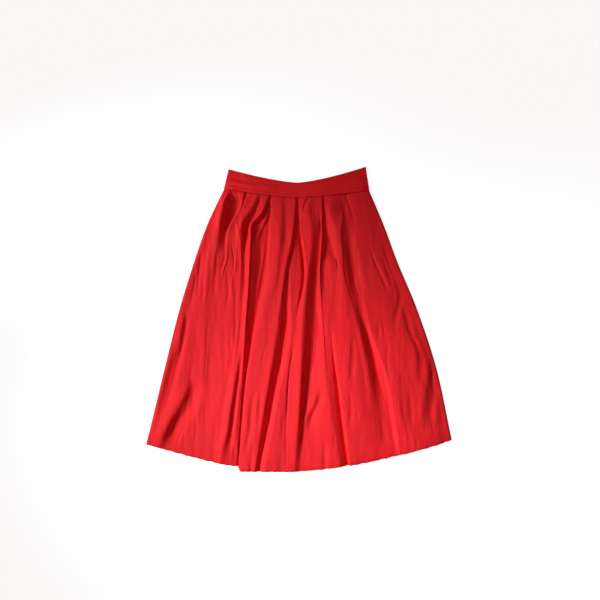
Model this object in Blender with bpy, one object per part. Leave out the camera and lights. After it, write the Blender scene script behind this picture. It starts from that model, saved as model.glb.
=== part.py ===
"""Pleated midi skirt, laid flat on its back.

Frame: metres, +Z up.  The skirt lies on z = 0 with its waist towards +Y, its front
panel on top and its origin at the bottom centre of its box.  Four cut pieces: a front
and a back panel, each a pleated wall of cloth, and a front and a back waistband, each
a strip folded over its upper edge.
"""

import math

import bmesh
import bpy

MM = 0.001

# ---- Cloth -------------------------------------------------------------------------
WALL = 1.0            # thickness of a panel's cloth, mm
PLY = 1.8             # height from one layer of a pleat to the next, mm
SEAM_GAP = 0.4        # clearance where two pieces are sewn together, mm
SIDE_SEAM_GAP = 0.3   # clearance between front and back along the side seams, mm
LAYER_GAP = 0.5       # least clearance between the front and the back panel, mm
CLOTH_COLOUR = (0.71, 0.012, 0.022, 1.0)
BAND_COLOUR = (0.50, 0.008, 0.014, 1.0)
CLOTH_ROUGHNESS = 0.78

# ---- Plan shape, mm ------------------------------------------------------------------
# Every table below has one column for each of these shares of the way down the skirt.
DOWN = (0.0, 0.15, 0.30, 0.50, 0.75, 1.0)
LEFT_SIDE = (-200, -241, -271, -305, -338, -370)
RIGHT_SIDE = (186, 221, 248, 296, 341, 370)

WAIST_CENTRE = 0.5    # place of the waist's lowest point, as a share of its width
SEAM_DIP = 302        # y of the waist seam at that point
SEAM_RISE = (25, 20)  # how much higher the seam is at the left and right side
TOP_DIP = 344
TOP_RISE = (38, 45)
WAIST_CURVE = 1.4     # power of the rise towards the sides

HEM_LOW = -389        # y of the hem from the stepped pleat to the middle
HEM_FLAT_END = -20    # x where the hem starts to rise to the right
HEM_RIGHT_RISE = 72
HEM_RIGHT_CURVE = 1.6
HEM_STEP_X = (-148, -139)
HEM_STEP = 12         # the left part of the hem ends this much higher
HEM_LEFT_RISE = 52
HEM_LEFT_CURVE = 1.25

# ---- Front panel: the threads that its pleats and folds follow ------------------------
# name: x at each share down, then height above the lowest layer at each share down
FOLDS = (
    ("rim", (-190, -230, -260, -294, -328, -360), (0, 4, 5, 5, 3, 5)),
    ("edge valley", (-187, -226, -254, -285, -319, -352), (0, 5, 5, 1, 2, 6)),
    ("side crest", (-184, -219, -238, -270, -292, -343), (0, 9, 10, 9, 10, 9)),
    ("leaf hollow", (-177, -199, -215, -240, -268, -322), (0, 1, 6, 7, 4, 0)),
    ("A left", (-143, -187, -198, -216, -234, -262), (0, 5, 6, 7, 8, 7)),
    ("A under", (-141, -172, -173, -184, -200, -226), (0, 4, 5, 7, 8, 8)),
    ("A right", (-139, -158, -151, -156, -174, -192), (0, 6, 7, 7, 9, 9)),
    ("AB valley", (-110, -149, -143, -146, -158, -179), (0, 0, 3, 5, 1, 0)),
    ("B left", (-78, -136, -132, -135, -149, -163), (0, 6, 9, 10, 7, 7)),
    ("B under", (-76, -114, -124, -129, -140, -147), (0, 1, 0, 0, 0, 1)),
    ("B right", (-73, -76, -91, -117, -133, -140), (0, 5, 6, 6, 6, 6)),
    ("BC crest", (-58, -62, -71, -92, -108, -122), (1, 8, 10, 10, 9, 9)),
    ("BC valley", (-38, -34, -48, -74, -97, -117), (0, 2, 6, 8, 8, 8)),
    ("C left", (-8, -17, -38, -60, -88, -112), (0, 7, 11, 14, 13, 12)),
    ("C valley", (-6, -10, -29, -33, -62, -95), (0, 0, 0, 0, 0, 0)),
    ("C crest", (-5, -5, -12, -24, -50, -80), (0, 2, 6, 13, 13, 12)),
    ("C right", (-2, 5, 10, -8, -25, -29), (0, 6, 9, 10, 9, 9)),
    ("CD crest", (19, 25, 19, 9, 4, -9), (1, 9, 12, 15, 15, 12)),
    ("CD valley", (46, 42, 35, 27, 20, 4), (0, 0, 0, 0, 1, 1)),
    ("D left", (60, 60, 54, 60, 72, 96), (0, 5, 8, 9, 10, 10)),
    ("D under", (62, 67, 74, 75, 92, 113), (0, 1, 4, 8, 4, 0)),
    ("D right", (64, 74, 90, 84, 101, 121), (0, 6, 9, 11, 12, 11)),
    ("DE crest", (90, 98, 105, 118, 134, 154), (1, 12, 13, 13, 12, 10)),
    ("E left", (122, 111, 112, 138, 158, 186), (0, 11, 12, 12, 10, 8)),
    ("E under", (124, 127, 129, 153, 187, 219), (0, 0, 0, 0, 0, 1)),
    ("E right", (127, 153, 150, 172, 204, 237), (0, 7, 8, 9, 10, 8)),
    ("right crest", (150, 185, 207, 240, 262, 285), (1, 7, 8, 8, 9, 8)),
    ("right valley", (171, 207, 233, 266, 308, 331), (0, 3, 3, 3, 3, 4)),
    ("right rim", (176, 211, 238, 282, 330, 358), (0, 4, 5, 6, 7, 6)),
)
# Cloth folded under each edge of a pleat, mm; below zero, the degrees it has opened.
TUCK = (14, 9, 3, -90, -140, -150)
DROP = (3.6, 3.6, 3.6, 2.4, 1.4, 1.0)   # from a pleat's edge down to its underlay
TUCK_CLEAR = 4.2      # a tuck ends at least this far from the middle of its panel, mm
BEND_SIDES = 2        # straight sides of each arc of a pleat's edge
FLAT_TURN = 170       # degrees that the cloth turns where a tuck starts to open
SHUT_TURN = 120       # a pleat's edge counts as shutting from this turn, in degrees,
SHUT_RANGE = 50       # to this much more
STRAIGHT_FALL = 0.05  # part of the drop that a shut pleat's straight run takes
SHUT_ARCS = 0.475     # part of the drop that each arc takes, shut and open
OPEN_ARCS = 0.35

# ---- Back panel ------------------------------------------------------------------------
BACK_PLEAT_WAIST = (-130, -69, -7, 55, 117)    # x of each pleat at the waist seam
BACK_PLEAT_HEM = (-258, -136, -8, 122, 248)    # and at the hem
BACK_PLEAT_OPENING = (3, 12, 26, 44, 58, 68)   # how far each stands open
BACK_TUCK = (14, 9, 3, -100, -145, -150)
BACK_DROP = (3.6, 3.6, 3.2, 2.0, 1.4, 1.0)

# ---- Sampling -----------------------------------------------------------------------------
FRONT_ROWS = (0.0, 0.07, 0.15, 0.22, 0.30, 0.40, 0.50, 0.62, 0.75, 0.88, 1.0)
BACK_ROWS = (0.0, 0.10, 0.22, 0.36, 0.52, 0.75, 1.0)
ROLL = 8.0            # width of the rounded turn along each side of the front, mm
ROLL_STEPS = (0.0, 0.12, 0.45, 1.0)
OPEN_PLEAT = 14.0     # a pleat wider open than this is sampled at its threads, mm
BEND_MARGIN = 1.0     # from the end of a pleat's edge to the next point along, mm

# ---- Waistbands ------------------------------------------------------------------------------
BAND_WALL = 1.2
BAND_PLY = 1.8        # between the outer and the inner layer of the folded strip
BAND_STATIONS = 15
BAND_END_RUN = 16.0   # the front band bends down over this length at each end, mm
BAND_Z_SEAM = 8.6     # middle of the front band at the seam and at its folded edge, mm
BAND_Z_TOP = 6.4
BAND_FOLD_SIDES = 4
BAND_LEAN = (11, -8)  # how far its left and right ends lean in at the folded edge, mm
MITRE_LIMIT = 1.6


def along(values, share):
    """Read a table row at a share of the way down, on a smooth curve."""
    last = len(DOWN) - 2
    k = 0
    while k < last and share > DOWN[k + 1]:
        k += 1
    span = DOWN[k + 1] - DOWN[k]
    u = (share - DOWN[k]) / span

    def slope(i):
        before = max(i - 1, 0)
        after = min(i + 1, len(DOWN) - 1)
        return (values[after] - values[before]) / (DOWN[after] - DOWN[before])

    rise = values[k + 1] - values[k]
    start = slope(k) * span - rise
    end = slope(k + 1) * span - rise
    return values[k] + u * rise + u * (1 - u) * ((1 - u) * start - u * end)


def smooth(u):
    """Ease from 0 to 1."""
    u = min(max(u, 0.0), 1.0)
    return u * u * (3 - 2 * u)


def waist_line(dip, rise, across):
    """Height of a waist line at a share of the way across the skirt."""
    away = (across - WAIST_CENTRE) / WAIST_CENTRE
    side = rise[0] if away < 0 else rise[1]
    return dip + side * abs(away) ** WAIST_CURVE


def hem_line(across):
    """Height of the hem at a share of the way across, with its step."""
    x = LEFT_SIDE[-1] + across * (RIGHT_SIDE[-1] - LEFT_SIDE[-1])
    right = max(x - HEM_FLAT_END, 0) / (RIGHT_SIDE[-1] - HEM_FLAT_END)
    left = max(HEM_STEP_X[0] - x, 0) / (HEM_STEP_X[0] - LEFT_SIDE[-1])
    step = 1 - smooth((x - HEM_STEP_X[0]) / (HEM_STEP_X[1] - HEM_STEP_X[0]))
    lift = HEM_STEP * step + HEM_LEFT_RISE * left ** HEM_LEFT_CURVE
    return HEM_LOW + lift + HEM_RIGHT_RISE * right ** HEM_RIGHT_CURVE


def row_y(x, share):
    """The y of a row of the skirt at this x: every layer of cloth shares it."""
    left = along(LEFT_SIDE, share)
    across = (x - left) / (along(RIGHT_SIDE, share) - left)
    across = min(max(across, 0.0), 1.0)
    seam = waist_line(SEAM_DIP, SEAM_RISE, across)
    return seam + share * (hem_line(across) - seam)


def relief(x, knots):
    """Height of the folds at x, easing from each thread to the next."""
    for (x0, z0), (x1, z1) in zip(knots, knots[1:]):
        if x <= x1:
            return z0 + (z1 - z0) * smooth((x - x0) / (x1 - x0))
    return knots[-1][1]


def s_bend(edge, fold, drop, side):
    """One edge of a pleat, from the panel on top round to the underlay.

    The cloth turns down over one arc, runs straight and turns back over a second.
    side is 1 where the panel lies to the left of its edge, and -1 to the right.
    Points are (x, height above the underlay).
    """
    if fold >= 0:
        turn = math.pi - STRAIGHT_FALL * drop / (fold + 1)
    else:
        turn = math.radians(FLAT_TURN + fold)
    shut = smooth((math.degrees(turn) - SHUT_TURN) / SHUT_RANGE)
    radius = (OPEN_ARCS + shut * (SHUT_ARCS - OPEN_ARCS)) * drop / (1 - math.cos(turn))
    straight = (drop - 2 * radius * (1 - math.cos(turn))) / math.sin(turn)
    headings = [turn * i / BEND_SIDES for i in range(BEND_SIDES + 1)]
    x_turn = radius * math.sin(turn)
    z_turn = drop - radius * (1 - math.cos(turn))
    points = [(radius * math.sin(h), drop - radius * (1 - math.cos(h))) for h in headings]
    half = straight / 2
    points.append((x_turn + half * math.cos(turn), z_turn - half * math.sin(turn)))
    x_back = x_turn + straight * math.cos(turn)
    for h in reversed(headings):
        points.append((x_back + x_turn - radius * math.sin(h), radius * (1 - math.cos(h))))
    reach = radius * math.sin(min(turn, math.pi / 2))
    points = [(edge + side * (x - reach), z) for x, z in points]
    return points if side > 0 else points[::-1]


def between(start, end, stops):
    """Points inside a span: at its threads, and half way to each neighbour."""
    inner = [start] + list(stops) + [end]
    points = []
    for a, b in zip(inner, inner[1:]):
        points += [(a + b) / 2, b]
    return points[:-1]


def underlay(start, end, edge_left, edge_right, threads):
    """Points along an underlay: beneath both edges of its pleat and between them.

    In a pleat that is nearly shut the threads lie bunched, so there the points are
    spread evenly instead.
    """
    low = max(edge_left, start + BEND_MARGIN)
    high = min(edge_right, end - BEND_MARGIN)
    points = [low] + between(low, high, threads) + [high]
    even = [start + (end - start) * (i + 1) / (len(points) + 1) for i in range(len(points))]
    opened = smooth((edge_right - edge_left) / OPEN_PLEAT)
    return [e + opened * (p - e) for p, e in zip(points, even)]


def pleated_row(panels, underlays, tuck, drop):
    """A whole cross-section, left to right, as (x, height above the underlays).

    panels holds each panel's threads with its two edges, underlays those inside each
    pleat, which lies between the last edge of one panel and the first of the next.
    """
    left = panels[0][0]
    right = panels[-1][-1]
    points = [(left + ROLL * step, drop) for step in ROLL_STEPS]
    for panel, following, threads in zip(panels, panels[1:], underlays):
        edge_left = panel[-1]
        edge_right = following[0]
        room_left = (edge_left - panel[0]) / 2 - TUCK_CLEAR
        room_right = (following[-1] - edge_right) / 2 - TUCK_CLEAR
        first = s_bend(edge_left, min(tuck, room_left), drop, 1)
        second = s_bend(edge_right, min(tuck, room_right), drop, -1)
        points += [(x, drop) for x in between(points[-1][0], first[0][0], panel[1:-1])]
        points += first
        hidden = underlay(first[-1][0], second[0][0], edge_left, edge_right, threads)
        points += [(x, 0.0) for x in hidden]
        points += second
    ending = right - ROLL
    points += [(x, drop) for x in between(points[-1][0], ending, panels[-1][1:-1])]
    points += [(right - ROLL * step, drop) for step in reversed(ROLL_STEPS)]
    return points


def offset(points, distance):
    """Move a section's points sideways from its line, with square corners kept."""
    moved = []
    for i, (x, z) in enumerate(points):
        x0, z0 = points[max(i - 1, 0)]
        x1, z1 = points[min(i + 1, len(points) - 1)]
        a = unit(x - x0, z - z0) if i > 0 else unit(x1 - x, z1 - z)
        b = unit(x1 - x, z1 - z) if i < len(points) - 1 else a
        nx, nz = unit(-a[1] - b[1], a[0] + b[0])
        cosine = nx * -a[1] + nz * a[0]
        stretch = min(1 / max(cosine, 1 / MITRE_LIMIT), MITRE_LIMIT)
        moved.append((x + nx * distance * stretch, z + nz * distance * stretch))
    return moved


def unit(x, z):
    length = max((x * x + z * z) ** 0.5, 1e-9)
    return x / length, z / length


def split_at_pleats(left, right, threads):
    """Sort the front's threads into its panels and the underlays between them."""
    panels = [[left]]
    underlays = []
    for name, (x, _) in threads.items():
        if name.endswith(" right"):
            panels.append([x])
        elif len(underlays) == len(panels):
            underlays[-1].append(x)
        else:
            panels[-1].append(x)
        if name.endswith(" left"):
            underlays.append([])
    panels[-1].append(right)
    return panels, underlays


def front_rings():
    """Cross-sections of the front panel from the waist seam to the hem."""
    rings = []
    for share in FRONT_ROWS:
        left = along(LEFT_SIDE, share)
        right = along(RIGHT_SIDE, share)
        threads = {name: (along(xs, share), along(zs, share)) for name, xs, zs in FOLDS}
        knots = list(threads.values())
        knots = [(left, knots[0][1])] + knots + [(right, knots[-1][1])]
        panels, underlays = split_at_pleats(left, right, threads)
        row = pleated_row(panels, underlays, along(TUCK, share), along(DROP, share))
        floor = along(BACK_DROP, share) + WALL + LAYER_GAP + WALL / 2
        seam_z = WALL + SIDE_SEAM_GAP + WALL / 2
        section = []
        for x, height in row:
            full = floor + height + relief(x, knots)
            edge = min(min(x - left, right - x) / ROLL, 1.0)
            turn = (1 - (1 - edge) ** 2) ** 0.5
            section.append((x, seam_z + (full - seam_z) * turn))
        rings.append(ring(section, share))
    return rings


def back_rings():
    """Cross-sections of the back panel, whose outer face lies on the ground."""
    rings = []
    for share in BACK_ROWS:
        drop = along(BACK_DROP, share)
        half = along(BACK_PLEAT_OPENING, share) / 2
        panels = [[along(LEFT_SIDE, share)]]
        underlays = []
        for waist, hem in zip(BACK_PLEAT_WAIST, BACK_PLEAT_HEM):
            centre = waist + share * (hem - waist)
            panels[-1].append(centre - half)
            panels.append([centre + half])
            underlays.append([])
        panels[-1].append(along(RIGHT_SIDE, share))
        row = pleated_row(panels, underlays, along(BACK_TUCK, share), drop)
        section = [(x, WALL / 2 + drop - height) for x, height in row]
        rings.append(ring(section, share))
    return rings


def ring(section, share):
    """The two faces of a section of a panel, as rows of points."""
    faces = (offset(section, WALL / 2), offset(section, -WALL / 2))
    return [[(x, row_y(x, share), z) for x, z in face] for face in faces]


def band_rings(is_front):
    """Cross-sections of a waistband from its left end to its right end."""
    left = LEFT_SIDE[0]
    right = RIGHT_SIDE[0]
    radius = BAND_PLY / 2
    flat_z = (BAND_PLY + BAND_WALL) / 2
    rings = []
    for i in range(BAND_STATIONS):
        across = smooth_ends(i / (BAND_STATIONS - 1))
        x = left + across * (right - left)
        lean = BAND_LEAN[0] + across * (BAND_LEAN[1] - BAND_LEAN[0])
        low = waist_line(SEAM_DIP, SEAM_RISE, across) + SEAM_GAP
        high = waist_line(TOP_DIP, TOP_RISE, across) - radius - BAND_WALL / 2
        z_low = flat_z
        z_high = flat_z
        if is_front:
            turn = smooth(min(x - left, right - x) / BAND_END_RUN)
            end_z = 3 * flat_z + SIDE_SEAM_GAP
            z_low = end_z + (BAND_Z_SEAM - end_z) * turn
            z_high = end_z + (BAND_Z_TOP - end_z) * turn
        rings.append(folded_strip(x, lean, low, high, z_low, z_high, radius))
    return rings


def smooth_ends(u):
    """Spread stations so that they lie closer together near both ends."""
    return (u + smooth(u)) / 2


def folded_strip(x, lean, low, high, z_low, z_high, radius):
    """One section of a strip folded over its upper edge, which leans over by this much."""
    quarter = [i / BAND_FOLD_SIDES for i in range(BAND_FOLD_SIDES + 1)]
    middle = (low + high) / 2
    z_middle = (z_low + z_high) / 2
    line = [(low, z_low + radius), (middle, z_middle + radius)]
    for q in quarter:
        height = radius * (1 - 2 * smooth(q))
        bulge = radius * (1 - (1 - 2 * smooth(q)) ** 2) ** 0.5
        line.append((high + bulge, z_high + height))
    line += [(middle, z_middle - radius), (low, z_low - radius)]
    top = offset(line, BAND_WALL / 2)
    under = offset(line, -BAND_WALL / 2)
    faces = []
    for side in (top, under):
        faces.append([(x + lean * (y - low) / (high - low), y, z) for y, z in side])
    return faces


def loft(name, rings, colour):
    """Skin a wall of cloth through its rings and close it at both ends."""
    bm = bmesh.new()
    outer = [[bm.verts.new([c * MM for c in p]) for p in top] for top, _ in rings]
    inner = [[bm.verts.new([c * MM for c in p]) for p in under] for _, under in rings]
    last = len(outer[0]) - 1
    for a, b in zip(range(len(rings) - 1), range(1, len(rings))):
        for i in range(last):
            bm.faces.new((outer[a][i], outer[b][i], outer[b][i + 1], outer[a][i + 1]))
            bm.faces.new((inner[a][i + 1], inner[b][i + 1], inner[b][i], inner[a][i]))
        bm.faces.new((outer[b][0], outer[a][0], inner[a][0], inner[b][0]))
        bm.faces.new((outer[a][last], outer[b][last], inner[b][last], inner[a][last]))
    for i in range(last):
        bm.faces.new((outer[0][i], outer[0][i + 1], inner[0][i + 1], inner[0][i]))
        bm.faces.new((outer[-1][i + 1], outer[-1][i], inner[-1][i], inner[-1][i + 1]))
    bmesh.ops.triangulate(bm, faces=bm.faces)
    bmesh.ops.recalc_face_normals(bm, faces=bm.faces)
    mesh = bpy.data.meshes.new(name)
    bm.to_mesh(mesh)
    bm.free()
    piece = bpy.data.objects.new(name, mesh)
    bpy.context.collection.objects.link(piece)
    mesh.materials.append(cloth(name + "_cloth", colour))
    return piece


def cloth(name, colour):
    material = bpy.data.materials.new(name)
    material.use_nodes = True
    shader = material.node_tree.nodes["Principled BSDF"]
    shader.inputs["Base Color"].default_value = colour
    shader.inputs["Roughness"].default_value = CLOTH_ROUGHNESS
    shader.inputs["Metallic"].default_value = 0.0
    return material


def main():
    for old in list(bpy.data.objects):
        bpy.data.objects.remove(old)
    loft("front_panel", front_rings(), CLOTH_COLOUR)
    loft("back_panel", back_rings(), CLOTH_COLOUR)
    loft("waistband_front", band_rings(True), BAND_COLOUR)
    loft("waistband_back", band_rings(False), BAND_COLOUR)


main()
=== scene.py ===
# %% [markdown]
# # A pleated skirt, laid flat
#
# The skirt lies on its back on a pale floor, front upwards. A maker would cut four
# pieces for it: a front and a back panel, which are pleated into the waist seam, and a
# front and a back waistband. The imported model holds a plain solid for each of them.
# This script dresses each solid in thin cloth, with the folds, seams and stitches that
# a solid is too coarse for.

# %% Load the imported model
import math

import bmesh
import bpy
import numpy as np
from mathutils import Matrix, Vector, noise


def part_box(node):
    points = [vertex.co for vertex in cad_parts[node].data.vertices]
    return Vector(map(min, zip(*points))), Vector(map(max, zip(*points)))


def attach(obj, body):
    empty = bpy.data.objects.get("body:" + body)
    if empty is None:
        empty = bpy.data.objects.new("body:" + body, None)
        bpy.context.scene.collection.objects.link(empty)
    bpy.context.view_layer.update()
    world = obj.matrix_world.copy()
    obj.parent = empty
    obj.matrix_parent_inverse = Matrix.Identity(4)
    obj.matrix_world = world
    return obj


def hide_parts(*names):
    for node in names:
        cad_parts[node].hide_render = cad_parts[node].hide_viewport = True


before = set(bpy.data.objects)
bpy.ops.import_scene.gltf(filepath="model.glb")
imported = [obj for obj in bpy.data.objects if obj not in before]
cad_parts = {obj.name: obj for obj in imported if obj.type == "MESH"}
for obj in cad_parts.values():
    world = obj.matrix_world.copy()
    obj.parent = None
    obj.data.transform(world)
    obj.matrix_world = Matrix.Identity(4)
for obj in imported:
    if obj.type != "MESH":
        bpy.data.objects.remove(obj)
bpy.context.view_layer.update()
print("packed nodes:", sorted(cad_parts))

# %% [markdown]
# ## The plan of the skirt
#
# Seen from above, a panel has four lines: the waist seam, which dips in the middle, two
# slanting sides, and the hem. The hem could be one arc, but the cloth was not laid quite
# straight: it rises more at the right, and a loose fold makes a small step at the left.
# So each line is a short formula with its own sizes. The lowest point of the hem and the
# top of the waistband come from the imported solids' boxes.
#
# Lengths are in millimetres until a mesh is made, because cloth is thought of in
# millimetres. What changes on the way down is a row of six numbers, one for each share
# of the way from the seam to the hem.

# %% Plan shape
MM = 0.001
DOWN = (0.0, 0.15, 0.30, 0.50, 0.75, 1.0)
LEFT_SIDE = (-200, -241, -271, -305, -338, -370)
RIGHT_SIDE = (186, 222, 253, 300, 344, 370)
SEAM_DIP = 302
SEAM_RISE = (25, 20)
TOP_RISE = (38, 45)
TOP_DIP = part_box("waistband_front")[1].y / MM - TOP_RISE[1]
WAIST_CURVE = 1.4
HEM_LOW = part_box("front_panel")[0].y / MM
HEM_FLAT_END = -20
HEM_RIGHT_RISE = 72
HEM_RIGHT_CURVE = 1.6
HEM_STEP_X = (-148, -139)
HEM_STEP = 12
HEM_LEFT_RISE = 52
HEM_LEFT_CURVE = 1.25


def ease(u):
    """Ease from 0 to 1, for numbers and for arrays."""
    u = np.clip(u, 0.0, 1.0)
    return u * u * (3 - 2 * u)


def waist_line(dip, rise, across):
    """The y of a waist line at a share of the way across."""
    away = (np.asarray(across) - 0.5) / 0.5
    side = np.where(away < 0, rise[0], rise[1])
    return dip + side * np.abs(away) ** WAIST_CURVE


def hem_line(across):
    """The y of the hem at a share of the way across, with its step."""
    x = LEFT_SIDE[-1] + np.asarray(across) * (RIGHT_SIDE[-1] - LEFT_SIDE[-1])
    right = np.maximum(x - HEM_FLAT_END, 0) / (RIGHT_SIDE[-1] - HEM_FLAT_END)
    left = np.maximum(HEM_STEP_X[0] - x, 0) / (HEM_STEP_X[0] - LEFT_SIDE[-1])
    step = 1 - ease((x - HEM_STEP_X[0]) / (HEM_STEP_X[1] - HEM_STEP_X[0]))
    lift = HEM_STEP * step + HEM_LEFT_RISE * left ** HEM_LEFT_CURVE
    return HEM_LOW + lift + HEM_RIGHT_RISE * right ** HEM_RIGHT_CURVE


def row_y(x, share, left, right):
    """The y of a row of the cloth at each x, between the row's left and right end."""
    across = np.clip((x - left) / (right - left), 0, 1)
    seam = waist_line(SEAM_DIP, SEAM_RISE, across)
    return seam + share * (hem_line(across) - seam)


print(f"waist seam {RIGHT_SIDE[0] - LEFT_SIDE[0]} mm, hem {RIGHT_SIDE[-1] - LEFT_SIDE[-1]} mm")

# %% [markdown]
# ## Reading a row of numbers
#
# Cloth has no corners between two measured places, so the numbers are joined by a smooth
# curve. An ordinary spline would swing past its points and make folds that nobody drew.
# This one keeps between neighbouring numbers, and is level where they turn back.

# %% Smooth curves through numbers
NEAR_WAIST = 0.075


def fold_curve(at, knots):
    """The value at each place on a curve through (place, value) knots, with no overshoot."""
    places = np.array([k[0] for k in knots], float)
    values = np.array([k[1] for k in knots], float)
    gaps = np.diff(places)
    rises = np.diff(values) / gaps
    slopes = np.concatenate([rises[:1], np.zeros(len(gaps) - 1), rises[-1:]])
    same = rises[:-1] * rises[1:] > 0
    both = np.where(same, rises[:-1] + rises[1:], 1)
    slopes[1:-1] = np.where(same, 2 * rises[:-1] * rises[1:] / both, 0)
    k = np.clip(np.searchsorted(places, at) - 1, 0, len(gaps) - 1)
    u = np.clip((at - places[k]) / gaps[k], 0, 1)
    start = gaps[k] * slopes[k]
    end = gaps[k] * slopes[k + 1]
    rise = values[k + 1] - values[k]
    return values[k] + u * (start + u * (3 * rise - 2 * start - end + u * (start + end - 2 * rise)))


def down_the_cloth(values, shares, near_waist=None):
    """A row of six numbers read at each share of the way down."""
    knots = list(zip(DOWN, values))
    if near_waist is not None:
        knots.insert(1, (NEAR_WAIST, near_waist))
    return fold_curve(shares, knots)


print("the left side half-way down is at x", round(float(down_the_cloth(LEFT_SIDE, 0.5))), "mm")

# %% [markdown]
# ## The threads of the front
#
# A soft fold is a curve that runs down the cloth and rises and sinks as it goes. It could
# come from a cloth simulation, but that would find folds of its own. These are listed one
# by one: each row of the table follows one thread, with its x and then its height at each
# share of the way down.
#
# A pleat has a "left" and a "right" edge, and the cloth between them lies lower, as an
# underlay. A tuck above zero is how far the cloth runs back under the edge. Below zero
# it is how many degrees the edge has opened. A drop is the step from the cloth on top
# down to the underlay. Edges that differ from the rest have rows of their own.

# %% The table of threads
# Each is (name, its x, its height above the flat pleats), both at the six shares down.
THREADS = (
    ("rim", (-190, -230, -260, -294, -328, -360), (0, 4, 5, 6, 12, 10)),
    ("edge valley", (-187, -226, -250, -284, -319, -352), (0, 5, 4.5, 5.5, 9.5, 10.5)),
    ("side crest", (-184, -206, -221, -264, -292, -343), (0, 12, 10, 7.5, 10, 10.5)),
    ("leaf hollow", (-177, -191, -205, -238, -268, -322), (0, 4, 8, 8, 7, 6)),
    ("A left", (-143, -177, -190, -214, -234, -262), (0, 9, 9, 8, 7, 6)),
    ("A under", (-141, -168, -171, -184, -200, -226), (0, 9, 10, 9, 8, 7)),
    ("A right", (-139, -151, -150, -152, -172, -192), (0, 12, 12, 10, 10, 9)),
    ("AB valley", (-110, -141, -141, -146, -160, -179), (0, 3, 7, 9, 9, 9)),
    ("B left", (-78, -124, -126, -133, -141, -150), (0, 7, 13, 12, 8, 7)),
    ("B under", (-76, -97, -98, -116, -137, -147), (0, 1, 0, 0, 1, 2)),
    ("B floor", (-74.5, -77, -84, -111.5, -135.5, -145.5), (0, 1, 1, 1, 3, 4)),
    ("B right", (-73, -75, -82, -109, -132, -144), (0, 5, 6, 7, 7, 6)),
    ("BC crest", (-58, -52, -57, -92, -110, -122), (1, 9, 13, 11, 9, 9)),
    ("BC valley", (-38, -36, -49, -73, -97, -117), (0, 6, 11.2, 12.5, 10, 8)),
    ("C left", (-8, -17, -36, -53, -80, -106), (0, 8.5, 12.5, 15, 13, 12)),
    ("C valley", (-6.5, -12, -30, -30, -64, -96), (0, 4, 6, 4, 3, 3)),
    ("C crest", (-5.5, -7, -23, -20, -50, -82), (0, 3, 9, 13, 13, 12)),
    ("C slope", (-4, -3, 4, -15, -38, -60), (0, 2, 9, 13, 13, 12)),
    ("C floor", (-3, 2, 12, -12, -30, -40), (0, 0, 2, 13, 12, 11)),
    ("C right", (-2, 7, 17, -8, -25, -29), (0, 6, 11, 13, 11, 11)),
    ("CD crest", (19, 30, 21, 7, 0, -12), (1, 11, 14, 17, 15.5, 11)),
    ("CD valley", (46, 55, 46, 38, 17, 2), (0, 2, 0, 0, 1, 6)),
    ("D left", (60, 59, 53, 60, 72, 96), (0, 8, 8, 10, 11, 10)),
    ("D under", (62, 66, 66, 75, 87, 108), (0, 1, 6, 12, 7, 5)),
    ("D floor", (63.3, 73, 88, 80, 97, 117), (0, 3.4, 10, 12, 0, -2)),
    ("D right", (64, 78, 98, 84, 102, 122), (0, 4, 11, 12, 12, 11)),
    ("DE crest", (90, 98, 107, 118, 140, 160), (1, 9, 13.5, 15, 13.5, 10)),
    ("E left", (122, 109, 112, 144, 171, 194), (0, 9, 13, 12, 10, 8)),
    ("E under", (124, 134, 141, 161, 202, 221), (0, 5, 7.5, 4.5, 1, 7)),
    ("E floor", (126, 147, 150.5, 167, 214, 233), (0, 4.5, 7, 6, 1, 6)),
    ("E right", (127, 151, 154, 173, 219, 241), (0, 4.5, 7, 8.2, 10, 9)),
    ("right slope", (140, 168, 182, 212, 244, 264), (1, 4.5, 5.5, 8, 10.5, 10)),
    ("right crest", (155, 184, 203, 236, 292, 310), (1, 3.6, 4.2, 6.5, 9.5, 8.5)),
    ("right valley", (171, 199, 222, 262, 316, 330), (0, 2.2, 2.2, 3.2, 6.5, 6.5)),
    ("right rim", (176, 214, 246, 288, 338, 360), (0, 0.6, -0.5, -0.5, -0.3, 0.5)),
)
# These threads turn just below the seam: their x and height at NEAR_WAIST.
TURN_SOON = {
    "side crest": (-198, 11),
    "A left": (-153, 7),
    "A right": (-146, 8),
    "AB valley": (-121, 2),
    "B left": (-97, 4),
    "DE crest": (80, 7),
    "E left": (116, 0.5),
}
# Tucks and drops of a plain edge, then those of the edges that differ.
TUCK = (14, 9, 3, -90, -120, -130)
DROP = (3.6, 3.6, 3.6, 2.4, 1.4, 1.0)
# An edge that has opened by this much has faded away.
FADES = -165
OWN_TUCK = {
    "A left": (14, -130, FADES, FADES, FADES, FADES),
    "A right": (14, -60, FADES, FADES, FADES, FADES),
    "B left": (14, 9, 3, -90, -110, FADES),
    "C left": (14, 9, 2, -140, FADES, FADES),
    "C right": (14, 9, 1, FADES, -120, -120),
    "D left": (14, 9, 2, -100, FADES, FADES),
    "D right": (14, 9, -100, FADES, -100, -100),
    "E left": (14, 6, -60, FADES, FADES, FADES),
    "E right": (14, 4, -140, -100, -50, -110),
}
OWN_DROP = {
    "A left": (3.6, 0.6, 0.5, 0.5, 0.5, 0.5),
    "A right": (3.6, 1.6, 0.5, 0.5, 0.5, 0.5),
    "B left": (3.6, 3.6, 3.6, 2.8, 1.8, 0.5),
    "C left": (3.6, 3.6, 3.2, 0.9, 0.5, 0.5),
    "C right": (3.6, 3.6, 2.6, 0.5, 1.0, 1.0),
    "D left": (3.6, 3.6, 3.0, 1.5, 0.5, 0.5),
    "D right": (3.6, 1.2, 0.5, 0.5, 1.8, 1.8),
    "E left": (0.9, 1.5, 2.0, 0.5, 0.5, 0.5),
    "E right": (3.6, 0.9, 0.5, 0.8, 2.4, 1.2),
}
BACK_DROP = (3.6, 3.6, 3.2, 2.0, 1.4, 1.0)
print(len(THREADS), "threads,", len(OWN_DROP), "of them edges with their own drop")

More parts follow.
